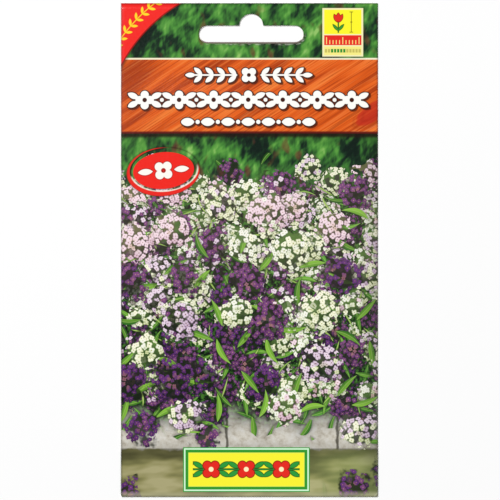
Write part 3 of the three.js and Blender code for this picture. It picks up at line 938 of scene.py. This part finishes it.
header = stamped(header, (greens - 0.1, "1c5a1f"), (greens + 0.08, "3d9a35"), (bloom - 0.1, "8c120e"),
                 (bloom + 0.08, "e33322"), (bar, "4a3c10"))
across_panel = print_x - panel_middle
long_tick = inside(abs(across_panel.math("WRAP", 2.5 * tick_pitch, -2.5 * tick_pitch)) - 0.3) * 0.9
ticks = inside(abs(across_panel.math("WRAP", tick_pitch / 2, -tick_pitch / 2)) - 0.13)
ticks = ticks * inside(abs(across_panel) - 5.2)
ticks = ticks * fade(print_y - long_tick, 64.6, 64.5) * fade(print_y, 63.25, 63.35)
header = paint(ticks, header, ink("fbe98a"))
month = abs(across_panel.math("WRAP", 0.0, month_pitch) - month_pitch / 2) - 0.34
month = month.math("MAXIMUM", abs(print_y - 61.28) - 0.55).math("MAXIMUM", abs(across_panel) - 5.6)
sown = fade(abs(print_x - 27.2), 2.4, 2.3)
header = paint(inside(month), header, paint(sown, ink("c9bd62"), ink("2f8f34")))
varnished(shader, header)

# The plate at the foot: a green and white frame round a yellow field with three red blossoms on
# a leafy branch.
shader, sheet_mm, print_x, print_y = printed(PLATE)
plate = frame_off(sheet_mm, plate_left, plate_right, plate_low, plate_high)
wrapped, branch_y, branch_x = repeated(sheet_mm, (-1.0, -67.35), 10.8)
branch_cell = joined_up(abs(wrapped), abs(branch_y))
branch = nearest(leaf(branch_cell, (4.0, 1.35), 0.5, 1.9, 0.75), abs(branch_y) - 0.2)
branch = branch.math("MAXIMUM", abs(branch_x) - 16.3)
red_blossom = blossom(branch_cell, (0, 0), diagonal, 3.0).math("MAXIMUM", abs(branch_x) - 16.0)
plate_colour = paint(inside(plate + 0.28), ink("2f9a3a"), ink("d6fbd8"))
plate_colour = stamped(
    plate_colour,
    (plate + 0.72, "33972f"),
    (plate + 1.6, "e8f65c"),
    (plate + 1.85, "fbf334"),
    (branch - 0.12, "12541f"),
    (branch + 0.1, "2c9a3c"),
    (red_blossom - 0.2, "7e0f0c"),
    (red_blossom + 0.05, "e52a1f"),
    (dot(branch_cell, (0, 0), 0.75), "fff3c0"),
)
varnished(shader, plate_colour)

# The back is printed in a few flat inks on cream: a sowing chart with twelve columns, the stages
# of growth in the soil, four signs for care, ruled lines for notes and a field for a date stamp.
shader, sheet_mm, print_x, print_y = printed(BACK, -1)
green_ink, violet_ink, leaf_ink = "2a8446", "8c4aa2", "3a8f3d"
cream = ramp(noise(sheet_mm, 0.9, 3.0, 0.6), (0.3, "f4eed7"), (0.7, "faf5e3"))
green = ramp(noise(sheet_mm, 0.7, 3.0, 0.6), (0.3, "1f7039"), (0.7, "278042"))
past_field = abs(print_y + 1.9) - 60.55
back_colour = paint(fade(past_field, -0.07, 0.07), cream, green)
crest_x, crest_y, crest_row = repeated(sheet_mm, (0, 66.4), 27.0)
crest_cell = joined_up(abs(crest_x), crest_y)
crest = nearest(blossom(crest_cell, (0, 0), diagonal, 2.9), leaf(crest_cell, (5.2, 0), 0.0, 1.9, 0.8))
crest = crest.math("MAXIMUM", 19.0 - abs(crest_row))
foot_x, foot_y, foot_row = repeated(sheet_mm, (0, -69.8), 13.0)
foot_cell = joined_up(abs(foot_x), abs(foot_y))
foot_garland = nearest(blossom(foot_cell, (0, 0), diagonal, 2.2),
                       leaf(foot_cell, (4.4, 0.9), 0.35, 1.7, 0.65), abs(foot_y) - 0.14)
foot_garland = foot_garland.math("MAXIMUM", abs(foot_row) - 31.5)
edge_line = abs(frame_off(sheet_mm, -36.4, 36.4, -59.9, 56.1)) - 0.16
back_colour = stamped(
    back_colour,
    (abs(past_field - 1.1) - 0.22, "f5eec8"),
    (crest, "f8f4dc"),
    (dot(crest_cell, (0, 0), 0.75), "1d6c36"),
    (foot_garland, "f1e9b4"),
    (edge_line, green_ink),
)

column, row_height, chart_low = 5.4, 4.6, 36.6
chart_half, head_low = 6 * column, chart_low + 3 * row_height
chart = frame_off(sheet_mm, -chart_half, chart_half, chart_low, head_low + 0.4 * row_height)
chart_head = frame_off(sheet_mm, -chart_half, chart_half, head_low, head_low + 0.4 * row_height + 1.4)
upright = abs(print_x.math("WRAP", column / 2, -column / 2))
level = abs((print_y - chart_low).math("WRAP", row_height / 2, -row_height / 2))
rules = (upright.math("MINIMUM", level) - 0.08).math("MAXIMUM", chart - 0.08)
stripe = frame_off(sheet_mm, -chart_half, chart_half, chart_low + row_height, chart_low + 2 * row_height)


def month_bar(row, first, last):
    """A filled bar in a row of the chart, from one month to another."""
    left, right = (first - 7) * column + 0.5, (last - 6) * column - 0.5
    low = chart_low + row * row_height + 0.8
    return frame_off(sheet_mm, left, right, low, low + row_height - 1.6)


month_x = (print_x - column / 2).math("WRAP", column / 2, -column / 2)
month_mark = blossom(joined_up(month_x, print_y - head_low - 1.6), (0, 0), diagonal, 1.1)
month_mark = month_mark.math("MAXIMUM", abs(print_x) - chart_half)
back_colour = stamped(back_colour, (chart, "fffdf4"), (stripe, "eef3dc"), (month_bar(2, 3, 5), "eeb523"),
                      (month_bar(1, 5, 6), "3f9d48"), (month_bar(0, 6, 10), violet_ink), (rules, "8fae86"),
                      (chart_head, green_ink), (month_mark, "fbf7de"))

soil_level, strip_low, strip_high, stage_pitch = 15.2, 10.2, 32.4, 16.0
strip = frame_off(sheet_mm, -chart_half, chart_half, strip_low, strip_high)
crumbs = ramp(noise(sheet_mm, 1.6, 3.0, 0.7), (0.4, "4a2f1c"), (0.5, "6f4829"), (0.62, "946a42"))
sky = ramp((print_y - strip_low) / (strip_high - strip_low), (0.2, "f6f8e4"), (1.0, "cfe6ee"))
back_colour = paint(inside(strip), back_colour, sky)
back_colour = paint(inside(strip.math("MAXIMUM", print_y - soil_level)), back_colour, crumbs)
for stage, tall in enumerate((0.0, 3.2, 7.5, 12.5)):
    stem_x, seed_y = (stage - 1.5) * stage_pitch, soil_level - 1.7
    back_colour = stamped(back_colour, (dot(sheet_mm, (stem_x, seed_y), 0.62), "e9c88a"))
    if stage:
        plant = [frame_off(sheet_mm, stem_x - 0.16, stem_x + 0.16, seed_y, soil_level + tall)]
        plant_x, plant_y, _ = split(placed(sheet_mm, (stem_x, soil_level)))
        half = joined_up(abs(plant_x), plant_y)
        for part in (0.3, 0.62, 0.95)[:stage]:
            plant.append(leaf(half, (1.7, tall * part + 0.9), 0.75, 1.9, 0.62))
        back_colour = stamped(back_colour, (nearest(*plant), leaf_ink))
flowers = [blossom(half, (x, tall + y), diagonal, 1.15) for x, y in ((0.0, 2.2), (1.9, 1.4), (1.1, 3.6))]
flower_eye = dot(half, (0, tall + 2.2), 0.35)
back_colour = stamped(back_colour, (nearest(*flowers), violet_ink), (flower_eye, "f6e7a0"),
                      (abs(strip) - 0.1, green_ink))

sign_y, sign_radius = 0.9, 5.7
sign_x, sign_up, sign_row = repeated(sheet_mm, (stage_pitch / 2, sign_y), stage_pitch)
on_signs = abs(sign_row + stage_pitch / 2) - 2 * stage_pitch
sign = (span(sign_x, sign_up) - sign_radius).math("MAXIMUM", on_signs)
back_colour = stamped(back_colour, (sign, green_ink), (sign + 0.4, "fdf6c9"))


def sign_place(number):
    """The sheet seen from the middle of one of the four signs."""
    return placed(sheet_mm, ((number - 1.5) * stage_pitch, sign_y))


ray_x, ray_y, _ = split(sign_place(0))
ray_angle = ray_y.math("ARCTAN2", ray_x).math("WRAP", math.pi / 8, -math.pi / 8)
ray_reach = span(ray_x, ray_y)
rays = (abs(ray_angle * ray_reach) - 0.26).math("MAXIMUM", abs(ray_reach - 3.3) - 0.75)
sun = nearest(ray_reach - 1.8, rays)
drop = nearest(dot(sign_place(1), (0, -0.9), 1.9),
               leaf(sign_place(1), (0, 0.55), math.pi / 2, 3.1, 1.75))
pot_x, pot_y, _ = split(sign_place(2))
pot = nearest((abs(pot_x) - pot_y * 0.22 - 2.1).math("MAXIMUM", abs(pot_y + 1.3) - 1.7),
              (abs(pot_x) - 2.95).math("MAXIMUM", abs(pot_y - 0.75) - 0.45))
sprout = nearest(leaf(joined_up(abs(pot_x), pot_y), (1.3, 2.6), 0.6, 1.5, 0.6),
                 (abs(pot_x) - 0.16).math("MAXIMUM", abs(pot_y - 1.8) - 0.9))
gap_x, gap_y, _ = split(sign_place(3))
gap_half = joined_up(abs(gap_x), gap_y)
pair = nearest(leaf(gap_half, (2.5, 1.2), 1.1, 1.2, 0.5), leaf(gap_half, (1.5, 1.2), 2.04, 1.2, 0.5))
arrow = nearest((abs(gap_y + 1.7) - 0.15).math("MAXIMUM", abs(gap_x) - 3.1),
                leaf(gap_half, (2.7, -1.7), 0.0, 0.8, 0.45))
back_colour = stamped(back_colour, (sun, "e8941c"), (drop, "2f7fb8"), (pot, "b9532c"), (sprout, leaf_ink),
                      (pair, leaf_ink), (arrow, "4a3c2c"))

notes = abs((print_y + 9.6).math("WRAP", 2.2, -2.2)) - 0.07
notes = notes.math("MAXIMUM", frame_off(sheet_mm, -chart_half, chart_half, -36.5, -9.0))
stamp_field = frame_off(sheet_mm, -chart_half, -2.0, -56.5, -40.5)
emblem_middle, laurel_radius = (17.5, -48.5), 6.6
emblem_x, emblem_y, _ = split(placed(sheet_mm, emblem_middle))
round_ring = emblem_y.math("ARCTAN2", emblem_x) * laurel_radius
round_ring = round_ring.math("WRAP", math.pi * 0.6, -math.pi * 0.6)
beside_ring = abs(span(emblem_x, emblem_y) - laurel_radius)
ring_leaves = leaf(joined_up(round_ring, beside_ring), (0.2, 0.85), 0.6, 1.25, 0.5)
laurel_ring = nearest(ring_leaves, beside_ring - 0.13)
back_blossom = blossom(sheet_mm, emblem_middle, diagonal, 3.6)
back_colour = stamped(
    back_colour,
    (notes, "9fb694"),
    (stamp_field, green_ink),
    (stamp_field + 0.18, "fffefa"),
    (laurel_ring, green_ink),
    (back_blossom - 0.25, "5d2f74"),
    (back_blossom, "b98acb"),
    (dot(sheet_mm, emblem_middle, 0.9), "f3d667"),
)
varnished(shader, back_colour)

# The inside of the wrap and its cut edges are the bare paper, white with short fibres, with a
# painted shade under the slot's lower edge.
shader, sheet_mm, print_x, print_y = printed(BARE)
fibres = streaks(sheet_mm, 0.4, 1.6, 0.16, 3.0) * 0.5 + streaks(sheet_mm, 1.9, 1.2, 0.14, 9.0) * 0.5
bare_colour = ramp(fibres * 0.6 + noise(sheet_mm, 0.35, 2.0) * 0.4, (0.38, "e4dfd3"), (0.6, "f8f5ee"))
from_slot, _, from_slot_y = past_slot()
# painted shade: the bare paper darkens under the slot's lower edge
painted_slot_shade = fade(abs(from_slot), 1.1, 0.5) * fade(from_slot_y, -1.2, -2.2)
finished(shader, paint(painted_slot_shade * 0.85, bare_colour, ink("5c463c")), fibres, 0.00003, (0.7, 0.95), 0.2)

# ---------------------------------------------------------------------------------------------
# The glue. Three flat films of white dispersion glue, dried to a clouded cream: down the back
# seam, under the bottom flap, and in the header round the slot.
# ---------------------------------------------------------------------------------------------


def inner_material(name):
    """A new material of a name. Gives it, its shader and its place in millimetres."""
    material = bpy.data.materials.new(name)
    shader, place = start(material)
    return material, shader, vector("MULTIPLY", place, (1 / MM, 1 / MM, 1 / MM))


def dressed(material, *nodes):
    """Puts a finish on pieces of the frame, in their objects' own slots."""
    for node in nodes:
        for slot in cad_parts[node].material_slots:
            slot.link = "OBJECT"
            slot.material = material


glue_film, shader, glue_mm = inner_material("dried_glue")
spread = streaks(glue_mm, math.pi / 2, 9.0, 1.1, 4.0, 2.0)
bubbles = fade(noise(glue_mm, 1.9, 1.0), 0.58, 0.68)
glue_colour = paint(bubbles * 0.5, ramp(spread, (0.35, "d3c291"), (0.6, "efe5c4")), ink("fbf6e6"))
finished(shader, glue_colour, spread * 0.6 + bubbles * 0.4, 0.00004, (0.28, 0.5), 0.45)
dressed(glue_film, "back_seam_glue", "bottom_flap_glue", "header_glue")

# ---------------------------------------------------------------------------------------------
# The sachet. Two webs of thin foil laminate, sealed to each other round their rim between ribbed
# jaws, which leave a fine lattice. The foil is rolled along the sachet and creased by its filling.
# ---------------------------------------------------------------------------------------------
foil, shader, foil_mm = inner_material("foil_laminate")
web_low, web_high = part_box("sachet_front")
seal_width = 5.0
past_pocket = frame_off(foil_mm, web_low.x / MM + seal_width, web_high.x / MM - seal_width,
                        web_low.y / MM + seal_width, web_high.y / MM - seal_width)
in_seal = fade(past_pocket, -0.1, 0.1)
foil_x, foil_y, _ = split(foil_mm)
rising = abs((foil_x + foil_y).math("WRAP", 0.45, -0.45))
falling = abs((foil_x - foil_y).math("WRAP", 0.45, -0.45))
ribs = fade(rising.math("MINIMUM", falling), 0.2, 0.02) * in_seal
rolled = streaks(foil_mm, math.pi / 2, 30.0, 0.35, 6.0, 2.0)
creases = 1 - fade(abs(noise(foil_mm, 0.16, 3.0, 0.6) - 0.5), 0.0, 0.05)
folds = creases * (1 - in_seal) * 0.8 + ribs * 0.5 + rolled * 0.05
foil_colour = ramp(rolled * 0.7 + ribs * 0.2, (0.25, "b9bdc2"), (0.6, "dfe2e5"))
finished(shader, foil_colour, folds, 0.0001, (0.24, 0.42), 0.5)
shader.inputs["Metallic"].default_value = 1.0
dressed(foil, "sachet_back", "sachet_front")

# ---------------------------------------------------------------------------------------------
# The seeds. Small flat ovals with a thin tan coat, mottled brown and finely pitted.
# ---------------------------------------------------------------------------------------------
seed_coat, shader, seed_mm = inner_material("seed_coat")
mottled = noise(seed_mm, 1.1, 3.0, 0.65) * 0.65 + noise(seed_mm, 5.0, 2.0) * 0.35
seed_colour = ramp(mottled, (0.34, "5e3315"), (0.46, "96602c"), (0.56, "bd8a4c"), (0.68, "d8b077"))
finished(shader, seed_colour, noise(seed_mm, 6.0, 2.0), 0.00006, (0.5, 0.75), 0.35)
dressed(seed_coat, *[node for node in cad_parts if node.startswith("seed_")])

# ---------------------------------------------------------------------------------------------
# Table, light and camera. The packet lies on a matt white table under two large soft lamps, and
# the camera looks straight down on it from above.
# ---------------------------------------------------------------------------------------------
floor_mesh = bpy.data.meshes.new("table")
floor_mesh.from_pydata([(-1.2, -1.2, 0), (1.2, -1.2, 0), (1.2, 1.2, 0), (-1.2, 1.2, 0)], [], [(0, 1, 2, 3)])
floor = bpy.data.objects.new("table", floor_mesh)
bpy.context.scene.collection.objects.link(floor)
floor_paint = bpy.data.materials.new("table_paint")
shader, _ = start(floor_paint)
shader.inputs["Base Color"].default_value = (0.955, 0.955, 0.955, 1)
shader.inputs["Roughness"].default_value = 0.9
shader.inputs["Specular IOR Level"].default_value = 0.1
floor_mesh.materials.append(floor_paint)

scene = bpy.context.scene
camera_data = bpy.data.cameras.new("camera")
camera = bpy.data.objects.new("camera", camera_data)
scene.collection.objects.link(camera)
scene.camera = camera
camera_data.lens = 100
camera_data.sensor_width = 36
view_width = 0.15370
camera.location = (0.00015, 0.00003, view_width * camera_data.lens / camera_data.sensor_width + 0.0004)
camera_data.clip_start = 0.01

world = bpy.data.worlds.new("studio")
scene.world = world
world.use_nodes = True
backdrop = world.node_tree.nodes["Background"]
backdrop.inputs["Color"].default_value = (1, 1, 1, 1)
seen = Ink(world.node_tree, None).node("ShaderNodeLightPath")
strength = seen * 0.8 + 0.12  # paler where the camera looks past the table
world.node_tree.links.new(strength.socket, backdrop.inputs["Strength"])


def lamp(name, place, size, power):
    """A square lamp at a place, turned towards the packet."""
    data = bpy.data.lights.new(name, "AREA")
    data.size = size
    data.energy = power
    made = bpy.data.objects.new(name, data)
    scene.collection.objects.link(made)
    made.location = place
    made.rotation_euler = Vector(place).to_track_quat("Z", "Y").to_euler()


lamp("key", (-1.05, 1.15, 2.15), 0.7, 56.0)
lamp("fill", (1.25, -0.95, 2.15), 1.2, 26.0)
scene.view_settings.view_transform = "Standard"
